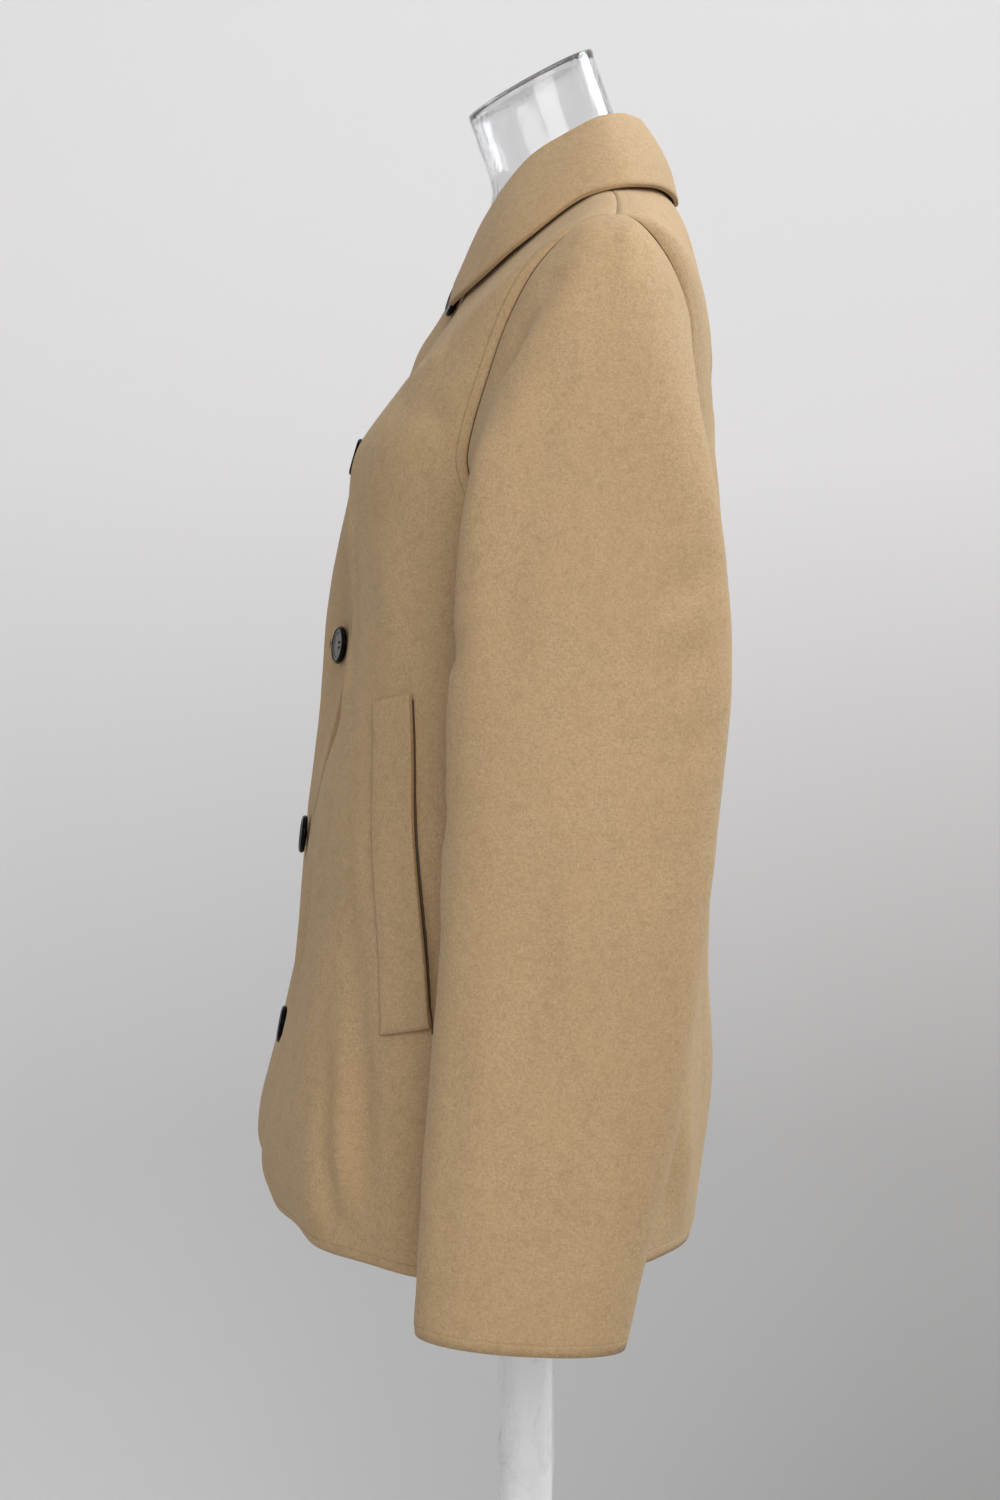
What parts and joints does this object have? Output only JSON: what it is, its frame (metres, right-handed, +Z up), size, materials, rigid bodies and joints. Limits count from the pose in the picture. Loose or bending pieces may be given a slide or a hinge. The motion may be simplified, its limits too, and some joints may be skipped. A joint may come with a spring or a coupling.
{
  "type": "single-breasted jacket on a dress form",
  "caption": "Short single-breasted wool jacket with a turned-down collar, slanted welt pockets and long set-in sleeves, on a clear limbless dress form with a round-based stand.",
  "frame": {"origin": "on the floor, under the middle of the stand's round base", "axes": "+Z up, -Y the jacket's front, +X the wearer's left"},
  "size_m": [0.651, 0.36, 1.5057],
  "materials": {
    "cloth": "soft double-faced wool, lightly milled, matt with a fine nap",
    "button": "polished black with a dished grey centre",
    "form": "clear moulded plastic shell",
    "pole": "white tube under loose clear film",
    "base": "light satin paint"
  },
  "bodies": {
    "root": {"front_left": "cloth", "front_right": "cloth", "back": "cloth", "sleeve_left": "cloth", "sleeve_right": "cloth", "collar": "cloth", "pocket_welt_left": "cloth", "pocket_welt_right": "cloth", "button_1": "button", "button_2": "button", "button_3": "button", "button_4": "button", "button_5": "button", "dress_form": "form", "stand_pole": "pole", "stand_base": "base"}
  },
  "joints": []
}
